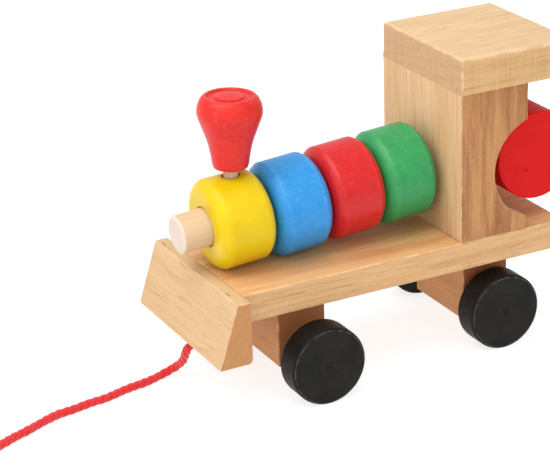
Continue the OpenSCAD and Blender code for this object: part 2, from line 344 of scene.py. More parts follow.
# The cord's middle line from its knot behind the screw eye to the coil, in millimetres
CORD_ROUTE = [
    (58, 0, 15.8), (61.1, 0, 15.8), (64.5, -1.2, 15), (66, -3, 12.4),
    (65.9, -5, 9.2), (65.9, -7.4, 6), (67.1, -10, 3.4), (70.4, -11.1, 1.7),
    (74.7, -9.9, 1.3), (79, -8.5, 1.3), (83.1, -7.8, 1.3), (87.1, -7, 1.3),
    (91.2, -5.7, 1.3), (95.3, -4.5, 1.3), (99.5, -4.2, 1.3), (103.8, -3.4, 1.3),
    (108.3, -2.4, 1.3), (112.5, -2.1, 1.3), (117.3, -0.3, 1.3), (122, 1.9, 1.3),
    (126.5, 3.9, 1.3), (131.2, 5.7, 1.3), (136.4, 8.4, 1.3), (140.8, 10.2, 1.3),
    (145.2, 12, 1.3), (149.4, 13.9, 1.3),
]
CORD_STEP = 0.6 * MM
YARN_R = 1.47 * MM  # to the outside of the three soft strands
CORD_LAY = 8.4 * MM
STRAND_SHARE = 0.71  # a strand's radius, as a share of the cord's
YARN_SWING = 0.1  # how much the cord's thickness varies, as a share
YARN_WAVE = 3.1 * MM  # and over what length
EASING_PASSES = 16  # that soften the cord's bends
KNOT_SIZE = 2 * MM
END_KNOT_TURN = -60  # degrees from the cord's heading, so that its tail clears the coil
TURN_STEP = 0.04  # between the coil's points, in turns
ROW_STEP_AT = 0.74  # share of a turn after which the cord moves to its next row
ROW_STEP_FOR = 0.22  # share of a turn that this takes
COIL_SWAY = 0.22 * MM  # unevenness of the turns
WHOLE_TURNS = 5  # before the turn in which the cord leaves the coil
TAIL_R = 6 * MM  # of the loop inside the coil, which ends at the knot
TAIL_POINTS = 18
TAIL_RISE = 0.4  # last share of the loop, in which it rises to the knot
TIE_TURN = 207  # where the tie grips the coil, in degrees from +X
TIE_REACH = 9  # degrees over which its grip fades


coil_low, coil_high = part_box("cord_coil")
COIL_CENTRE = Vector(((coil_low.x + coil_high.x) / 2, (coil_low.y + coil_high.y) / 2, 0))
COIL_MID_R = (coil_high.x - coil_low.x) / 2 - 2 * CORD_R - 0.1 * MM
to_route = Vector(CORD_ROUTE[-1]) * MM - COIL_CENTRE
# The angle at which the route, laid straight on, touches the outer turns
COIL_START = math.atan2(to_route.y, to_route.x) - math.acos(
    (COIL_MID_R + CORD_R) / to_route.xy.length
)


def coil_place(turned_by):
    """(radius, height) of the cord's middle line after that many turns: three turns up the
    outside, then three down the inside, each step taken in the last part of a turn."""
    outer, inner = COIL_MID_R + CORD_R, COIL_MID_R - CORD_R
    rows = [CORD_R, 3 * CORD_R, 5 * CORD_R]
    places = [(outer, z) for z in rows] + [(inner, z) for z in rows[::-1]]
    whole = int(turned_by)
    rise = min(1, max(0, (turned_by - whole - ROW_STEP_AT) / ROW_STEP_FOR))
    rise = rise * rise * (3 - 2 * rise)
    a, b = Vector(places[whole]), Vector(places[min(whole + 1, len(places) - 1)])
    radius, height = a.lerp(b, rise)
    sway = noise.noise(Vector((turned_by * 2.3, whole * 5.1, 0.4)))
    return radius + COIL_SWAY * sway, height


def coil_point(turned_by):
    """The cord's middle line in the coil. Under the tie the turns are squeezed together."""
    radius, height = coil_place(turned_by)
    angle = COIL_START - 2 * pi * turned_by
    off_tie = math.degrees(angle) % 360 - TIE_TURN
    grip = math.exp(-((off_tie / TIE_REACH) ** 2))
    radius -= 0.12 * grip * (radius - COIL_MID_R)
    height += grip * (0.6 * MM - height * 0.14)
    return COIL_CENTRE + Vector((radius * cos(angle), radius * sin(angle), height))


def coil_tail():
    """(turns after which the cord leaves the coil, points from there to the end knot): a loop
    that touches the innermost turn from inside and curls round to the knot."""
    knot = middle("cord_end_knot") - COIL_CENTRE
    away, inset = knot.xy.length, COIL_MID_R - CORD_R - TAIL_R
    leave = math.atan2(knot.y, knot.x) - math.acos(
        (away**2 + inset**2 - TAIL_R**2) / (2 * away * inset)
    )
    hub = inset * Vector((cos(leave), sin(leave), 0))
    arrive = math.atan2(knot.y - hub.y, knot.x - hub.x)
    sweep = (leave - arrive) % (2 * pi)
    points = []
    for share in np.linspace(0, 1, TAIL_POINTS + 1)[1:]:
        angle = leave - sweep * share
        spot = hub + TAIL_R * Vector((cos(angle), sin(angle), 0))
        spot.z = CORD_R + (knot.z - CORD_R) * max(0, share - (1 - TAIL_RISE)) / TAIL_RISE
        points.append(COIL_CENTRE + spot)
    return WHOLE_TURNS + (COIL_START - leave) / (2 * pi) % 1, points


def softened(line):
    """The line with its tighter bends eased, as a limp cord takes them."""
    for _ in range(EASING_PASSES):
        eased = [(a + 2 * b + c) / 4 for a, b, c in zip(line, line[1:], line[2:])]
        line = [line[0], *eased, line[-1]]
    return line


def cord_line():
    """The whole cord's middle line, from the knot behind the eye to the knot in the coil."""
    turns, tail = coil_tail()
    wound = [coil_point(t) for t in np.arange(0, turns, TURN_STEP)]
    wound[0].z = CORD_R
    points = [Vector(p) * MM for p in CORD_ROUTE] + wound + tail
    return softened(through(points, CORD_STEP))


def rope(name, line, radius, lay=CORD_LAY):
    """A cord of three soft strands twisted together, with lay for one whole turn of a strand."""
    strand_r, strand_out = radius * STRAND_SHARE, radius * (1 - STRAND_SHARE)
    around = []
    for strand in range(3):
        for step in range(6):
            off = radians(20 * step - 60)
            reach = strand_out * cos(off) + math.sqrt(strand_r**2 - (strand_out * sin(off)) ** 2)
            around.append((2 * pi * strand / 3 + off, reach))
    least = min(r for _, r in around)
    crest = [(r - least) / (radius - least) for _, r in around]

    def ring(far):
        uneven = 1 + YARN_SWING * noise.noise(Vector((far / YARN_WAVE, 0, 1.7)))
        twist = -2 * pi * far / lay
        return [(turn + twist, r * uneven) for turn, r in around]

    far = np.repeat(distances_along(line), len(around)) / MM
    marks = {"crest": crest * len(line), "far": far}
    # The soft cord flattens a little where it lies on the floor
    points = [Vector((p.x, p.y, max(p.z, 0.02 * MM))) for p in tube_points(line, ring)]
    return piece_from(name, points, ring_faces(len(line), len(around)), marks, sharp_over=80)


def overhand(centre, heading, side, size, tail):
    """The middle line of an overhand knot: two passes twisted round each other by one and a
    half turns, joined by a loop over them, with a tail after the second pass."""
    over = heading.cross(side)
    half, deep = 0.8 * size, 0.42 * size

    def pass_points(start):
        made = []
        for k in range(10):
            share = k / 9
            turn = radians(start + 540 * share)
            made.append((half * (2 * share - 1), deep * sin(turn), deep * cos(turn)))
        return made

    loop = [
        (half + 0.42 * size, deep + 0.25 * size, 0.3 * size),
        (half * 0.75, deep + 0.85 * size, 0.25 * size),
        (0, deep + 0.95 * size, 0),
        (-half * 0.75, deep + 0.85 * size, -0.25 * size),
        (-half - 0.42 * size, deep + 0.25 * size, -0.3 * size),
    ]
    lead_in = [(-half - 0.5 * size, -deep * 0.6, 0)]
    lead_out = [
        (half + 0.5 * size, -deep * 0.8, 0),
        (half + 0.5 * size + tail, -deep * 0.6, -0.2 * size),
    ]
    local = lead_in + pass_points(-90) + loop + pass_points(90) + lead_out
    lift = 0.35 * size
    return [centre + heading * x + side * (y - lift) + over * z for x, y, z in local]


# --- materials ---


def rgb(red, green, blue):
    """A display colour, 0 to 255, as the shader's linear colour."""
    linear = [
        c / 12.92 if c <= 0.04045 else ((c + 0.055) / 1.055) ** 2.4
        for c in (red / 255, green / 255, blue / 255)
    ]
    return (*linear, 1)


class Surface:
    """A material, its shader, and short names for the nodes that feed it. shine is the
    shader's specular level."""

    def __init__(self, name, shine=0.5, **sockets):
        self.material = bpy.data.materials.new(name)
        self.material.use_nodes = True
        self.tree = self.material.node_tree
        self.tree.nodes.clear()
        fixed = {key.replace("_", " "): value for key, value in sockets.items()}
        self.shader = self.add("BsdfPrincipled", fixed | {"Specular IOR Level": shine})
        self.add("OutputMaterial", {"Surface": self.shader.outputs[0]})

    def add(self, kind, inputs, **settings):
        node = self.tree.nodes.new("ShaderNode" + kind)
        for key, value in settings.items():
            setattr(node, key, value)
        for key, value in inputs.items():
            self.put(node.inputs[key], value)
        return node

    def put(self, socket, value):
        if isinstance(value, bpy.types.NodeSocket):
            self.tree.links.new(value, socket)
        else:
            socket.default_value = value

    def local(self, point, axis):
        """Place in millimetres from point, with z along axis."""
        turn = Vector(axis).to_track_quat("Z", "Y").to_euler()
        place = self.add("TexCoord", {}).outputs["Object"]
        inputs = {"Vector": place, "Location": point, "Rotation": turn, "Scale": (MM, MM, MM)}
        return self.add("Mapping", inputs, vector_type="TEXTURE").outputs[0]

    def stretch(self, place, across, along, shift=0):
        scale = (across, across, along)
        inputs = {"Vector": place, "Scale": scale, "Location": (shift, shift, shift)}
        return self.add("Mapping", inputs).outputs[0]

    def noise(self, place, scale=1, detail=2, rough=0.5):
        inputs = {"Vector": place, "Scale": scale, "Detail": detail, "Roughness": rough}
        return self.add("TexNoise", inputs).outputs[0]

    def math(self, kind, a, b=0):
        return self.add("Math", {0: a, 1: b}, operation=kind).outputs[0]

    def total(self, *values):
        made = values[0]
        for value in values[1:]:
            made = self.math("ADD", made, value)
        return made

    def times(self, a, b):
        return self.math("MULTIPLY", a, b)

    def remap(self, value, low, high, to_low=0, to_high=1):
        """value, smoothly taken from low..high to to_low..to_high."""
        inputs = {0: value, 1: low, 2: high, 3: to_low, 4: to_high}
        return self.add("MapRange", inputs, interpolation_type="SMOOTHSTEP").outputs[0]

    def blend(self, share, a, b):
        return self.add("Mix", {0: share, 6: a, 7: b}, data_type="RGBA").outputs[2]

    def tint(self, base, tone, most, value, low, high):
        """base, taken towards tone, by up to most as value goes from low to high."""
        return self.blend(self.times(self.remap(value, low, high), most), base, tone)

    def mark(self, name):
        return self.add("Attribute", {}, attribute_name=name).outputs["Fac"]

    def facing(self, axis):
        """How squarely the surface at rest faces along axis, either way, from 0 to 1."""
        normal = self.add("TexCoord", {}).outputs["Normal"]
        dot = self.add("VectorMath", {0: normal, 1: axis}, operation="DOT_PRODUCT")
        return self.math("ABSOLUTE", dot.outputs["Value"])

    def from_axis(self, place):
        """(distance from the local axis, distance along it)."""
        x, y, z = self.add("SeparateXYZ", {0: place}).outputs
        squares = self.total(self.times(x, x), self.times(y, y))
        return self.math("SQRT", squares), z

    def vector(self, x, y):
        return self.add("CombineXYZ", {0: x, 1: y}).outputs[0]

    def finish(self, base, rough, height, depth):
        """Joins colour, roughness and relief, with height times depth in millimetres."""
        self.put(self.shader.inputs["Base Color"], base)
        self.put(self.shader.inputs["Roughness"], rough)
        bump = self.add("Bump", {"Height": height, "Distance": depth * MM, "Strength": 1})
        self.put(self.shader.inputs["Normal"], bump.outputs[0])
        return self.material


CUT_END = rgb(199, 153, 106)
BROWN = rgb(150, 96, 58)
WORN = rgb(222, 192, 152)


def wood(name, grain, pith, pale, warm, end=CUT_END, *, side=None, streaks, saw, shift, cracks=0):
    """Sanded light hardwood under a thin lacquer. Its rings run round a line through pith
    along grain, so faces across the grain show end grain. side holds two tones for the faces
    on the left and right, where the grain takes up more lacquer. shift picks another stretch
    of the same wood."""
    s = Surface(name, shine=0.2)
    place = s.local(pith, grain)
    drift = s.add(
        "TexNoise", {"Vector": s.stretch(place, 0.03, 0.007, shift), "Scale": 1, "Detail": 2}
    )
    wander = s.add("VectorMath", {0: drift.outputs["Color"], 1: (16, 16, 16)}, operation="MULTIPLY")
    bent = s.add("VectorMath", {0: place, 1: wander.outputs[0]}, operation="ADD").outputs[0]
    rings = s.add(
        "TexWave", {"Vector": bent, "Scale": 0.085, "Distortion": 0.6, "Detail": 2},
        wave_type="RINGS", rings_direction="Z", wave_profile="SAW",
    ).outputs[1]
    late = s.remap(rings, 0.55, 1)
    fibre = s.noise(s.stretch(bent, 1.25, 0.045, shift), detail=5, rough=0.65)
    cloud = s.noise(s.stretch(place, 0.11, 0.018, shift), detail=3)
    streak = s.noise(s.stretch(bent, 0.2, 0.011, shift + 3), detail=4, rough=0.6)
    dash = s.noise(s.stretch(bent, 1.1, 0.055, shift))
    across = s.facing(grain)
    on_end = s.remap(across, 0.55, 0.85)
    upright = s.math("SUBTRACT", 1, s.remap(s.facing(UP), 0.3, 0.7))
    world = s.local((0, 0, 0), UP)
    sawing = s.noise(s.stretch(world, 2, 0.04, shift), detail=3, rough=0.65)

    base = s.blend(s.remap(cloud, 0.3, 0.7), pale, warm)
    if side:
        band = s.noise(s.stretch(place, 0.3, 0.035, shift), detail=6, rough=0.62)
        bands = s.remap(band, 0.32, 0.7)
        base = s.blend(s.remap(s.facing(LEFT), 0.55, 0.85), base, s.blend(bands, *side))
    base = s.tint(base, BROWN, streaks, streak, 0.55, 0.8)
    base = s.blend(s.times(late, 0.08), base, BROWN)
    base = s.tint(base, BROWN, 0.24, fibre, 0.45, 0.7)
    base = s.tint(base, BROWN, 0.3, dash, 0.63, 0.72)
    checks = s.noise(s.stretch(bent, 0.9, 0.016, shift + 8), detail=3, rough=0.7)
    base = s.tint(base, BROWN, cracks, checks, 0.64, 0.7)
    speck = s.noise(place, scale=1.9, detail=4, rough=0.7)
    base = s.tint(base, BROWN, 0.14, speck, 0.5, 0.7)
    base = s.tint(base, WORN, 0.12, speck, 0.5, 0.32)
    pores = s.remap(s.noise(s.stretch(place, 1.7, 0.3), detail=3), 0.45, 0.7)
    cut_end = s.blend(s.times(pores, 0.25), end, BROWN)
    base = s.blend(on_end, base, s.blend(s.times(late, 0.12), cut_end, BROWN))
    base = s.blend(s.times(s.times(upright, s.remap(sawing, 0.42, 0.72)), saw), base, BROWN)
    patchy = s.remap(s.noise(place, scale=0.22, detail=3), 0.4, 0.62)
    base = s.blend(s.times(s.mark("edge"), s.times(patchy, 0.5)), base, WORN)

    rough = s.remap(fibre, 0.3, 0.7, 0.5, 0.66)
    relief = s.total(
        s.times(fibre, 0.7), s.times(late, 0.15), s.times(dash, -0.3),
        s.times(s.times(upright, sawing), 0.7),
    )
    return s.finish(base, rough, relief, 0.04)


def paint(name, tone, light, dark, point, axis, rough, rub_and_highlight, shine, chip=None):
    """Satin paint brushed on turned wood, with the turning and the grain just showing. Marked
    edges take the light tone: rubbed paint on the beads' edges, and a painted highlight on the
    chimney's rims. chip is (place in millimetres from point, reach, tone) for one small chip
    or scratch."""
    s = Surface(name, shine)
    place = s.local(point, axis)
    radius, far = s.from_axis(place)
    turning = s.noise(s.vector(s.times(radius, 1.1), s.times(far, 1.6)), detail=4, rough=0.65)
    grain = s.noise(s.stretch(place, 1.5, 0.1), detail=3, rough=0.6)
    mottle = s.noise(place, scale=0.5, detail=5, rough=0.65)
    cloud = s.noise(place, scale=0.13)
    base = s.blend(s.remap(cloud, 0.3, 0.7, 0, 0.5), tone, dark)
    base = s.blend(s.remap(mottle, 0.45, 0.75, 0, 0.3), base, light)
    base = s.tint(base, dark, 0.25, grain, 0.55, 0.8)
    # Marked edges lighter: rubbed paint, and on the chimney's rims a painted highlight
    rubbed_and_lit_edge = s.times(s.mark("edge"), s.remap(s.noise(place, scale=0.7, detail=3), 0.4, 0.62))
    base = s.blend(s.times(rubbed_and_lit_edge, rub_and_highlight), base, light)
    if chip:
        spot, reach, tone_under = chip
        inputs = {"Vector": place, "Location": spot, "Scale": reach}
        near = s.add("Mapping", inputs, vector_type="TEXTURE").outputs[0]
        away = s.add("VectorMath", {0: near}, operation="LENGTH").outputs["Value"]
        ragged = s.total(away, s.times(s.noise(place, scale=1.4, detail=3), 1.6))
        base = s.blend(s.remap(ragged, 1.75, 1.45), base, tone_under)
    gloss = s.remap(mottle, 0.3, 0.75, rough - 0.07, rough + 0.09)
    relief = s.total(s.times(turning, 0.7), s.times(grain, 0.8), s.times(mottle, 0.5))
    return s.finish(base, gloss, relief, 0.03)


def bare_dowel(name, point, axis):
    """Pale birch rod, fine grained, a little rosy, with end grain on its ends."""
    s = Surface(name, shine=0.2)
    place = s.local(point, axis)
    fibre = s.noise(s.stretch(place, 3, 0.12), detail=4, rough=0.65)
    vein = s.noise(s.stretch(place, 0.8, 0.03), detail=3)
    dash = s.noise(s.stretch(place, 2.2, 0.35))
    on_end = s.remap(s.facing(axis), 0.6, 0.9)
    base = s.blend(s.remap(vein, 0.35, 0.65), rgb(209, 182, 150), rgb(204, 174, 140))
    grit = s.noise(place, scale=2.4, detail=3, rough=0.7)
    base = s.blend(s.remap(grit, 0.5, 0.7, 0, 0.2), base, rgb(184, 142, 112))
    base = s.tint(base, rgb(176, 134, 98), 0.12, fibre, 0.45, 0.75)
    base = s.tint(base, rgb(160, 112, 76), 0.15, dash, 0.64, 0.76)
    pores = s.remap(s.noise(s.stretch(place, 2, 0.4), detail=4, rough=0.7), 0.45, 0.65, 0, 0.4)
    base = s.blend(on_end, base, s.blend(pores, rgb(214, 198, 186), rgb(186, 156, 132)))
    base = s.blend(s.times(s.mark("edge"), 0.5), base, rgb(224, 206, 184))
    return s.finish(base, s.remap(fibre, 0.3, 0.7, 0.55, 0.7), fibre, 0.03)


def yarn():
    """Soft red cord, darker between its strands as painted shade, with fine threads slanting across them."""
    s = Surface("cord_yarn", shine=0.25, Sheen_Weight=0.35, Sheen_Roughness=0.5)
    crest, far = s.mark("crest"), s.mark("far")
    slant = s.vector(s.total(s.times(far, 1.9), s.times(crest, 2.2)), s.times(crest, 1.1))
    thread = s.noise(slant)
    fluff = s.noise(s.local((0, 0, 0), UP), scale=2.4, detail=3)
    # Painted shade: darker in the hollows between the strands, lighter on their crests
    base = s.blend(s.remap(crest, 0, 0.5), rgb(190, 18, 22), rgb(212, 32, 34))
    base = s.blend(s.remap(thread, 0.5, 0.75, 0, 0.35), base, rgb(228, 92, 88))
    base = s.blend(s.remap(fluff, 0.5, 0.68, 0, 0.55), base, rgb(160, 14, 18))
    relief = s.total(thread, s.times(fluff, 0.5))
    return s.finish(base, s.remap(thread, 0.3, 0.7, 0.72, 0.9), relief, 0.07)


def worn_evenly(name, node, axis, tones, scale, detail, gloss, depth, **sockets):
    """A plain material that clouds from one tone and roughness to another."""
    s = Surface(name, **sockets)
    wear = s.noise(s.local(middle(node), axis), scale, detail)
    base = s.blend(s.remap(wear, 0.35, 0.7), *tones)
    return s.finish(base, s.remap(wear, 0.3, 0.7, *gloss), wear, depth)


# --- cord pieces ---


FRAY_FIBRES = 26
FIBRE_R = 0.09 * MM


def fray(name, tip, heading, seed):
    """Loose fibres at a cut end."""
    rng = np.random.default_rng(seed)
    points, faces, crest, far = [], [], [], []
    for _ in range(FRAY_FIBRES):
        spread = Vector(rng.normal(0, 0.32, 3).tolist())
        start = tip - heading * 1.2 * MM + 0.55 * CORD_R * spread
        aim = (heading + spread).normalized()
        curl = Vector(rng.normal(0, 0.25, 3).tolist())
        length = rng.uniform(1.6, 3.4) * MM
        line = [start + aim * length * t + curl * length * t * t * 0.5 for t in (0, 0.35, 0.7, 1)]
        made = tube_points(line, lambda _: [(2 * pi * k / 4, FIBRE_R) for k in range(4)])
        faces += [[i + len(points) for i in f] for f in ring_faces(len(line), 4)]
        points += made
        crest += [0.8] * len(made)
        far += [rng.uniform(0, 50)] * len(made)
    return piece_from(name, points, faces, {"crest": crest, "far": far}, sharp_over=80)


def knotted(name, node, heading, side, tail, seed):
    """An overhand knot where a CAD knot is, and the fibres at the tip of its tail."""
    line = through(overhand(middle(node), heading, side, KNOT_SIZE, tail), step=0.35 * MM)
    # The cord is pulled thinner in its knots
    knot = rope(name + "_tied", line, radius=1.1 * MM, lay=6.5 * MM)
    return knot, fray(name + "_fray", line[-1], (line[-1] - line[-3]).normalized(), seed)


def wire_tie():
    """A plastic-covered wire tie round the coil's turns, its ends twisted together on top."""
    angle = radians(TIE_TURN)
    out = Vector((cos(angle), sin(angle), 0))
    along = UP.cross(out)
    centre = COIL_CENTRE + out * COIL_MID_R
    half_w, half_h = 2.2 * CORD_R, 2.75 * CORD_R
    centre.z = 0.45 * MM + half_h + 0.2 * MM
    loop = []
    # Round the turns from one side of the top to the other, open by 56 degrees between them
    for k in range(33):
        turn = radians(118 + 304 * k / 32)
        c, s = cos(turn), sin(turn)
        blunt = (abs(c) ** 5 + abs(s) ** 5) ** (-1 / 5)
        loop.append(centre + out * half_w * 1.06 * c * blunt + UP * half_h * 1.02 * s * blunt)
    root = (loop[0] + loop[-1]) / 2 + UP * 0.7 * MM
    lean = (UP * 0.75 + out * 0.5).normalized()
    across = lean.cross(along).normalized()

    def tail(phase, flip):
        made = []
        for k in range(14):
            share = k / 13
            turn = phase + 2.4 * 2 * pi * share
            apart = 0.45 * MM + max(0, share - 0.75) * 5 * MM
            drop = lean * 6.5 * MM * share - UP * max(0, share - 0.6) ** 2 * 9 * MM
            made.append(root + drop + apart * (cos(turn) * along + sin(turn) * across))
        return made[::-1] if flip else made

    line = through(tail(0, True) + loop + tail(pi, False), 0.3 * MM)
    flat, thick = 0.75 * MM, 0.24 * MM
    ring = []
    for k in range(12):
        turn = 2 * pi * k / 12
        reach = flat * thick / math.hypot(thick * cos(turn), flat * sin(turn))
        ring.append((turn, reach))
    return tube("coil_tie_twisted", line, ring, sharp_over=70)


def make_cord():
    red = yarn()
    line = cord_line()
    cord = rope("pull_cord_laid", line, YARN_R)
    finish_piece(cord, red, "pull_cord", "cord_coil")
    tied, tied_fray = knotted("cord_knot", "cord_knot", -AHEAD, UP, 2.2 * MM, seed=3)
    finish_piece(tied, red, "cord_knot")
    heading = line[-1] - line[-8]
    heading = Vector((heading.x, heading.y, 0)).normalized()
    heading = Quaternion(UP, radians(END_KNOT_TURN)) @ heading
    ended, ended_fray = knotted(
        "cord_end", "cord_end_knot", heading, UP.cross(heading), 2.6 * MM, seed=8
    )
    finish_piece(ended, red, "cord_end_knot")
    for loose in (tied_fray, ended_fray):
        loose.data.materials.append(red)
        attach(loose, "root")
    tie = wire_tie()
    film = worn_evenly(
        "tie_film", "coil_tie", UP, (rgb(246, 246, 243), rgb(226, 226, 222)), scale=1.6,
        detail=3, gloss=(0.35, 0.5), depth=0.05,
    )
    finish_piece(tie, film, "coil_tie")


make_cord()


# --- screw eye ---


def make_screw_eye():
    low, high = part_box("screw_eye")
    wire_r, outer = (high.x - low.x) / 2, (high.y - low.y) / 2
    ring_r = outer - wire_r
    centre = Vector(((low.x + high.x) / 2, 0, low.z + outer))
    ring = [
        centre + ring_r * (sin(radians(a)) * LEFT - cos(radians(a)) * UP)
        for a in range(-150, 160, 10)
    ]
    neck = [centre + UP * ring_r * 1.12 + LEFT * 0.1 * MM, centre + UP * (ring_r * 1.45)]
    top = Vector((centre.x, 0, high.z))
    line = through(ring + neck + [neck[-1].lerp(top, 0.5), top], 0.3 * MM)
    wire = [(2 * pi * k / 16, wire_r) for k in range(16)]
    eye = tube("screw_eye_bent", line, wire, sharp_over=60)
    zinc = worn_evenly(
        "zinc_wire", "screw_eye", AHEAD, (rgb(214, 214, 210), rgb(168, 166, 160)), scale=0.9,
        detail=4, gloss=(0.25, 0.42), depth=0.02, Metallic=1,
    )
    finish_piece(eye, zinc, "screw_eye")


make_screw_eye()


# --- wooden blocks ---

HOLLOW_R = 17.9 * MM  # of the hollow in the cab's rear, round the drum
HOLLOW_BEHIND = 5.4 * MM  # from the cab's rear face to the hollow's axis
HOLLOW_UP = 21.5 * MM  # from the deck to the hollow's axis
BUMPER_TOP = 4.7 * MM
BOILER_HOLE_R = 7.05 * MM
AXLE_HOLE_R = 3.1 * MM
CAB_EDGE = 0.45 * MM
# The gaps that splinters left on the bumper's top edge: where along Y, how long, and across
SLIT_PLACES = (-27.5, 20.5)
SLIT_LENGTH = 2.6
SLIT = [(-0.22 * MM, -0.7 * MM), (0.22 * MM, -0.7 * MM), (0.22 * MM, MM), (-0.22 * MM, MM)]


def box_corners(low_u, high_u, low_v, high_v, ease):
    sides = [(low_u, low_v), (high_u, low_v), (high_u, high_v), (low_u, high_v)]
    return [(u, v, ease) for u, v in sides]


def make_board():
    low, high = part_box("base_board")
    corners = box_corners(low.y, high.y, low.z, high.z, 0.7 * MM)
    board = sawn("base_board_sawn", rounded(corners), along_x, low.x, high.x, 0.5 * MM)
    material = wood(
        "board_wood", AHEAD, (0, -30 * MM, low.z - 46 * MM), rgb(223, 177, 123),
        rgb(208, 150, 97), side=(rgb(212, 172, 124), rgb(204, 160, 112)),
        streaks=0.25, saw=0.04, shift=2, cracks=0.5,
    )
    finish_solid(board, material, "base_board")


def make_roof():
    low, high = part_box("roof")
    corners = box_corners(low.y, high.y, low.z, high.z, 1.2 * MM)
    corners = [(y, z, radius if z == high.z else 0.2 * MM) for y, z, radius in corners]
    roof = sawn("roof_sawn", rounded(corners), along_x, low.x, high.x, 0.9 * MM, crisp=low.z)
    material = wood(
        "roof_wood", AHEAD, (0, 22 * MM, low.z - 60 * MM), rgb(212, 182, 144),
        rgb(208, 174, 132), rgb(195, 159, 119),
        side=(rgb(208, 172, 124), rgb(202, 162, 110)), streaks=0.1, saw=0.22, shift=7,
    )
    finish_solid(roof, material, "roof")


def make_cab():
    low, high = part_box("cab_block")
    axis_x, axis_z = low.x - HOLLOW_BEHIND, low.z + HOLLOW_UP
    reach = math.acos(HOLLOW_BEHIND / HOLLOW_R)
    hollow = [
        (axis_x + HOLLOW_R * cos(a), axis_z + HOLLOW_R * sin(a), 0)
        for a in np.linspace(reach, -reach, 45)
    ]
    hollow[0] = (*hollow[0][:2], CAB_EDGE)
    hollow[-1] = (*hollow[-1][:2], CAB_EDGE)
    corners = [(low.x, low.z, CAB_EDGE), (high.x, low.z, CAB_EDGE), (high.x, high.z, 0.1 * MM)]
    corners += [(low.x, high.z, 0.1 * MM), *hollow]
    cab = sawn("cab_block_sawn", rounded(corners), along_y, low.y, high.y, 0.3 * MM, crisp=high.z)
    hole = middle("boiler_dowel")
    wall_x = (axis_x + HOLLOW_R + high.x) / 2
    hole_z = hole.z + (hole.x - wall_x) * -DIP.z / DIP.x
    bore = rod("bore", (wall_x, 0, hole_z), AHEAD, BOILER_HOLE_R, -20 * MM, 20 * MM)
    material = wood(
        "cab_wood", UP, (-80 * MM, -40 * MM, 0), rgb(218, 184, 142), rgb(211, 172, 127),
        side=(rgb(192, 140, 92), rgb(146, 94, 56)), streaks=0.32, saw=0.24, shift=11,
    )
    finish_solid(cab, material, "cab_block", [bore])


def make_bumper():
    low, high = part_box("front_bumper")
    corners = [
        (low.x, low.z, 1.7 * MM), (high.x, low.z, 0.25 * MM),
        (low.x + BUMPER_TOP, high.z, 0.55 * MM), (low.x, high.z, 0.55 * MM),
    ]
    bumper = sawn("front_bumper_sawn", rounded(corners), along_y, low.y, high.y, 0.4 * MM)
    slits = [
        sawn(
            "slit", [(Vector(c), 0) for c in SLIT], along_y, y * MM, (y + SLIT_LENGTH) * MM,
            0.08 * MM, step=9 * MM,
        )
        for y in SLIT_PLACES
    ]
    for slit in slits:
        slit.location = (low.x + BUMPER_TOP - 1.1 * MM, 0, high.z)
    material = wood(
        "bumper_wood", LEFT, (low.x - 50 * MM, 0, low.z - 20 * MM), rgb(203, 171, 129),
        rgb(201, 166, 123), rgb(186, 134, 86), streaks=0.04, saw=0, shift=5,
    )
    finish_solid(bumper, material, "front_bumper", slits)


def make_axle_block(node, axle, shift):
    low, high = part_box(node)
    corners = box_corners(low.x, high.x, low.z, high.z, 0.7 * MM)
    block = sawn(node + "_sawn", rounded(corners), along_y, low.y, high.y, 0.5 * MM)
    at = middle(axle)
    half = (high.y - low.y) / 2
    bore = rod("bore", (at.x, 0, at.z), LEFT, AXLE_HOLE_R, -half - 5 * MM, half + 5 * MM)
    material = wood(
        node + "_wood", LEFT, (low.x - 30 * MM, 0, low.z - 40 * MM), rgb(208, 153, 103),
        rgb(194, 136, 86), rgb(156, 98, 58), streaks=0.3, saw=0.1, shift=shift,
    )
    finish_solid(block, material, node, [bore])


make_board()
make_roof()
make_cab()
make_bumper()
make_axle_block("front_axle_block", "front_axle", 4)
make_axle_block("rear_axle_block", "rear_axle", 9)


# --- turned pieces ---

EASE = 0.5 * MM  # of a bead's bore, and of the dowel's rear end
SHOULDER = 5.2 * MM  # the radius of a bead's shoulders
RUB = 1.2 * MM  # the width of the worn line round a bead's edge
BREAK = 24  # degrees by which a shoulder meets the bead's round at an edge
PEG_HOLE_R = 3.1 * MM  # in the yellow bead
PEG_SEAT_R = 2.6 * MM  # in the boiler dowel


def bead_outline(radius, bore, start, end):
    """The closed outline of a bead with broad rounded shoulders and an eased bore."""
    inset = radius - SHOULDER * cos(radians(BREAK))
    line = edge_arc(bore + EASE, start + EASE, EASE, 180, 270)
    line += edge_arc(inset, start + SHOULDER, SHOULDER, -90, -BREAK, steps=12)[:-1]
    first = start + SHOULDER * (1 - sin(radians(BREAK)))
    last = end - (first - start)
    line += [(radius, first, 1), (radius, first + RUB, 0), (radius, last - RUB, 0), (radius, last, 1)]
    line += edge_arc(inset, end - SHOULDER, SHOULDER, BREAK, 90, steps=12)[1:]
    line += edge_arc(bore + EASE, end - EASE, EASE, 90, 180)
    return line


def make_bead(node, centre, tones, shine=0.36, holes=()):
    outline = bead_outline(*turned_size(node, centre, DIP))
    bead = turned(node + "_turned", outline, centre, DIP, closed=True, sharp_over=20)
    material = paint(node + "_paint", *tones, centre, DIP, rough=0.34, rub_and_highlight=0.4, shine=shine)
    finish_solid(bead, material, node, holes)


def make_beads():
    tones = {
        "blue_bead": (rgb(42, 140, 206), rgb(88, 168, 224), rgb(32, 124, 194)),
        "red_bead": (rgb(198, 24, 26), rgb(216, 62, 60), rgb(184, 16, 20)),
        "green_bead": (rgb(46, 146, 82), rgb(84, 170, 114), rgb(38, 130, 70)),
    }
    for node in tones:
        make_bead(node, JOINTS[node + "_spin"]["pos_m"], tones[node])
    centre = middle("yellow_bead")
    yellow = (rgb(216, 186, 6), rgb(224, 200, 34), rgb(210, 172, 4))
    hole = rod("hole", (centre.x, 0, centre.z), UP, PEG_HOLE_R, 0, 20 * MM, 0.2 * MM)
    make_bead("yellow_bead", centre, yellow, shine=0.25, holes=[hole])


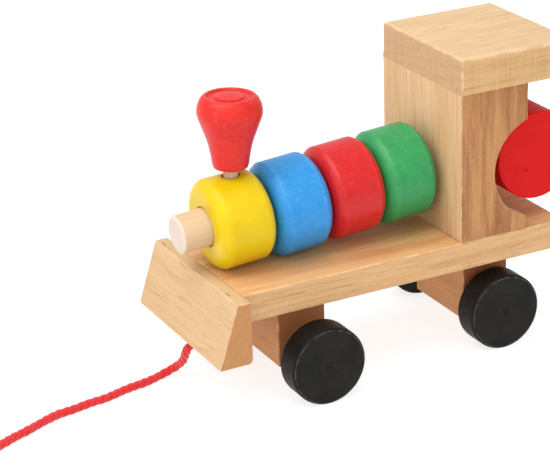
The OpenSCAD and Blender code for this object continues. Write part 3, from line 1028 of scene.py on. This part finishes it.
def make_dowel():
    centre = middle("yellow_bead")
    radius, _, start, end = turned_size("boiler_dowel", centre, DIP)
    outline = [(0, start, 0), (radius - EASE, start, 0), (radius, start + EASE, 0)]
    soft = 0.9 * MM
    outline += edge_arc(radius - soft, end - soft, soft, 0, 90, mark=1) + [(0, end, 0)]
    dowel = turned("boiler_dowel_turned", outline, centre, DIP)
    peg_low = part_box("chimney_peg")[0]
    seat = rod("seat", (centre.x, 0, peg_low.z), UP, PEG_SEAT_R, 0, 20 * MM, 0.1 * MM)
    finish_solid(dowel, bare_dowel("boiler_dowel_wood", centre, DIP), "boiler_dowel", [seat])


def make_chimney():
    foot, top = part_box("chimney_knob")
    # In its loose hole it sits a little to the rear, and leans back
    at = Vector(((foot.x + top.x) / 2 - 0.25 * MM, 0, foot.z))
    lean = Vector((-0.022, 0.006, 1)).normalized()
    radius, height = (top.x - foot.x) / 2, top.z - foot.z
    # The flared side, as shares of the widest radius and of the height
    flare = [
        (0.53, 0.01), (0.565, 0.06), (0.615, 0.2), (0.71, 0.38), (0.89, 0.6),
        (1.0, 0.75), (0.985, 0.86), (0.9, 0.95), (0.8, 0.995),
    ]
    side = through([Vector((r * radius, z * height, 0)) for r, z in flare], 0.5 * MM)
    outline = [(0, 0, 0), (radius * 0.5, 0, 0)] + [(p.x, p.y, 0) for p in side]
    groove, disc_r = radius * 0.71, radius * 0.45
    # The top, a groove round a disc: millimetres out from each rim and up from the height, and a mark that the
    # paint lightens, as a painted highlight on the rims
    for rim, out, up, mark in (
        (groove, 0.3, 0.02, 1), (groove, 0, -0.1, 1), (groove, -0.3, -0.6, 0),
        (groove, -0.9, -0.65, 0), (disc_r, 0.5, -0.6, 0), (disc_r, 0.1, -0.5, 0),
        (disc_r, 0, -0.1, 1), (disc_r, -0.35, 0, 1), (disc_r * 0.6, 0, 0.15, 0), (0, 0, 0.2, 0),
    ):
        outline.append((rim + out * MM, height + up * MM, mark))
    knob = turned("chimney_knob_turned", outline, at, lean)
    red = (rgb(207, 36, 28), rgb(222, 82, 74), rgb(194, 26, 22))
    # Its marked rims take the paint's light tone, as a painted highlight
    material = paint("chimney_paint", *red, at, UP, rough=0.36, rub_and_highlight=0.5, shine=0.28)
    finish_solid(knob, material, "chimney_knob")
    low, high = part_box("chimney_peg")
    peg = rod(
        "chimney_peg_turned", at - lean * (foot.z - low.z), lean, (high.x - low.x) / 2, 0,
        high.z - low.z, 0.3 * MM, sides=48,
    )
    finish_piece(peg, bare_dowel("chimney_peg_wood", at, UP), "chimney_peg")


def make_drum():
    centre = middle("rear_drum")
    radius, _, start, end = turned_size("rear_drum", centre, LEFT)
    ease = 0.6 * MM
    outline = [(0, start, 0)] + edge_arc(radius - ease, start + ease, ease, -90, 0, mark=1)
    outline += edge_arc(radius - ease, end - ease, ease, 0, 90, mark=1) + [(0, end, 0)]
    drum = turned("rear_drum_turned", outline, centre, LEFT)
    red = (rgb(204, 22, 22), rgb(214, 44, 42), rgb(192, 16, 18))
    # A tiny nick in the paint of its left face
    nick = Vector((-50.1, 20.6, 59.3)) * MM - centre
    spin = LEFT.to_track_quat("Z", "Y").inverted()
    chip = (tuple(spin @ nick / MM), (1, 0.6, 1.5), rgb(138, 22, 20))
    material = paint(
        "drum_paint", *red, centre, LEFT, rough=0.5, rub_and_highlight=0.3, shine=0.1, chip=chip
    )
    finish_solid(drum, material, "rear_drum")


def wheel_outline(radius, width):
    """From the wheel's inner face, at 0, to its outer face."""
    inner, outer = 0.8 * MM, 0.9 * MM
    line = [(0, 0, 0)] + edge_arc(radius - inner, inner, inner, -90, 0)
    corner = edge_arc(radius - outer, width - outer, outer, 0, 90)
    corner[-2] = (*corner[-2][:2], 1)  # a thin line beside the face in a lighter grey: partly rubbed paint, partly a painted highlight
    line += corner
    groove = radius * 0.62
    line += [(groove + 0.35 * MM, width, 0), (groove, width - 0.1 * MM, 0)]
    line += [(groove - 0.35 * MM, width, 0), (1.1 * MM, width, 0)]
    line += [(0.7 * MM, width - 0.25 * MM, 0), (0, width - 0.55 * MM, 0)]
    return line


def black_paint(name, centre):
    """Satin black on turned wood: faint turning rings, specks of dust, a tread painted darker as
    painted shade, and a grey line at the face's edge, partly rubbed paint and partly a painted
    highlight.
    """
    s = Surface(name, shine=0.14)
    place = s.local(centre, LEFT)
    radius, far = s.from_axis(place)
    turning = s.noise(s.vector(s.times(radius, 1.8), s.times(far, 1.2)), detail=4, rough=0.7)
    mottle = s.noise(place, scale=0.7, detail=5, rough=0.7)
    cloud = s.noise(place, scale=0.16, detail=3)
    base = s.blend(s.remap(cloud, 0.35, 0.7), rgb(20, 19, 18), rgb(28, 27, 25))
    # Painted shade: the tread is painted darker than the face
    base = s.blend(s.remap(s.facing(LEFT), 0.5, 0.9), rgb(15, 12, 11), base)
    base = s.blend(s.remap(turning, 0.5, 0.75, 0, 0.3), base, rgb(42, 40, 38))
    specks = s.remap(s.noise(place, scale=2.1, detail=1), 0.74, 0.8, 0, 0.5)
    base = s.blend(specks, base, rgb(96, 93, 88))
    patchy = s.remap(s.noise(place, scale=0.45, detail=3), 0.35, 0.6, 0.1, 0.8)
    # The marked line beside the face turns grey: partly rubbed paint, partly a painted highlight
    base = s.blend(s.times(s.mark("edge"), patchy), base, rgb(92, 89, 84))
    rough = s.remap(mottle, 0.3, 0.75, 0.42, 0.6)
    relief = s.total(turning, s.times(mottle, 0.6))
    return s.finish(base, rough, relief, 0.04)


def make_wheelset(axle_node, left, right):
    low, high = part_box(axle_node)
    at = middle(axle_node)
    axle = rod(axle_node + "_turned", at, LEFT, (high.x - low.x) / 2, low.y - at.y, high.y - at.y)
    finish_piece(axle, bare_dowel(axle_node + "_wood", at, LEFT), axle_node)
    for node, outward in ((left, LEFT), (right, -LEFT)):
        w_low, w_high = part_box(node)
        inner_y = w_low.y if outward == LEFT else w_high.y
        outline = wheel_outline((w_high.x - w_low.x) / 2, w_high.y - w_low.y)
        wheel = turned(node + "_turned", outline, (at.x, inner_y, at.z), outward)
        finish_solid(wheel, black_paint(node + "_paint", middle(node)), node)


make_beads()
make_dowel()
make_chimney()
make_drum()
make_wheelset("front_axle", "front_left_wheel", "front_right_wheel")
make_wheelset("rear_axle", "rear_left_wheel", "rear_right_wheel")


# --- hidden glued dowels ---


def finish_hidden(node, axis):
    hidden = frame["nodes"][node]
    material = bare_dowel(node + "_wood", middle(node), axis)
    hidden.data.materials.clear()
    hidden.data.materials.append(material)


finish_hidden("bumper_dowels", AHEAD)
for hidden_node in ("front_block_dowels", "rear_block_dowels", "cab_dowels", "roof_dowels"):
    finish_hidden(hidden_node, UP)


# --- stage ---


def make_floor():
    half = 6
    corners = [(-half, -half, 0), (half, -half, 0), (half, half, 0), (-half, half, 0)]
    floor = piece_from("floor", corners, [[0, 1, 2, 3]])
    s = Surface(
        "floor_white", shine=0.1, Roughness=0.9, Base_Color=(0.35, 0.35, 0.35, 1),
        Emission_Color=(1, 1, 1, 1), Emission_Strength=0.78,
    )
    floor.data.materials.append(s.material)


def make_light(name, towards, distance, size, power):
    """A square soft light at that distance from the toy, in the direction towards."""
    data = bpy.data.lights.new(name, "AREA")
    data.shape, data.size, data.energy = "SQUARE", size, power
    direction = Vector(towards).normalized()
    hang(name, data, CAMERA_AIM + direction * distance, direction.to_track_quat("Z", "Y"))


def make_world():
    world = bpy.data.worlds.new("studio")
    world.use_nodes = True
    tone, strength = world.node_tree.nodes["Background"].inputs[:2]
    tone.default_value = (1, 1, 1, 1)
    strength.default_value = 0.75
    bpy.context.scene.world = world
    bpy.context.scene.view_settings.view_transform = "Standard"


make_floor()
make_light("overhead", (0.35, 0.06, 0.93), distance=0.8, size=0.8, power=5.4)
make_light("front", (0.85, 0.2, 0.48), distance=1, size=1.2, power=2.8)
make_light("side", (0.1, 0.9, 0.45), distance=1, size=0.8, power=1.6)
make_world()
